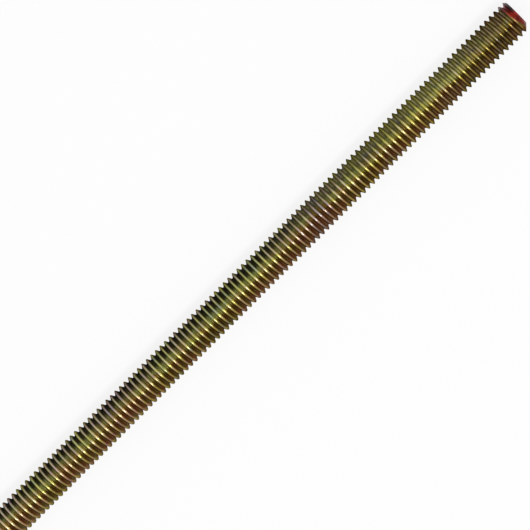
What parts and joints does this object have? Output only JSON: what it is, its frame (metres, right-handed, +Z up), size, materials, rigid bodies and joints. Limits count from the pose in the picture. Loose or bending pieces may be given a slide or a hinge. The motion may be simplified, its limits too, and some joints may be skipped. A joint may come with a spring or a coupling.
{
  "type": "threaded rod",
  "caption": "Fully threaded steel rod with a right-hand thread along its whole length, chamfered ends and one painted end.",
  "frame": {"origin": "on the rod's axis, half way between its two ends", "axes": "+X along the rod towards the painted end, +Z up, the rod lies along X"},
  "size_m": [0.1904, 0.0092, 0.0092],
  "materials": {
    "plated_steel": "yellow passivated zinc plating with shifting olive, gold and violet tints, and dark red paint on the rim of one end"
  },
  "bodies": {
    "root": {"threaded_rod": "plated_steel"}
  },
  "joints": []
}
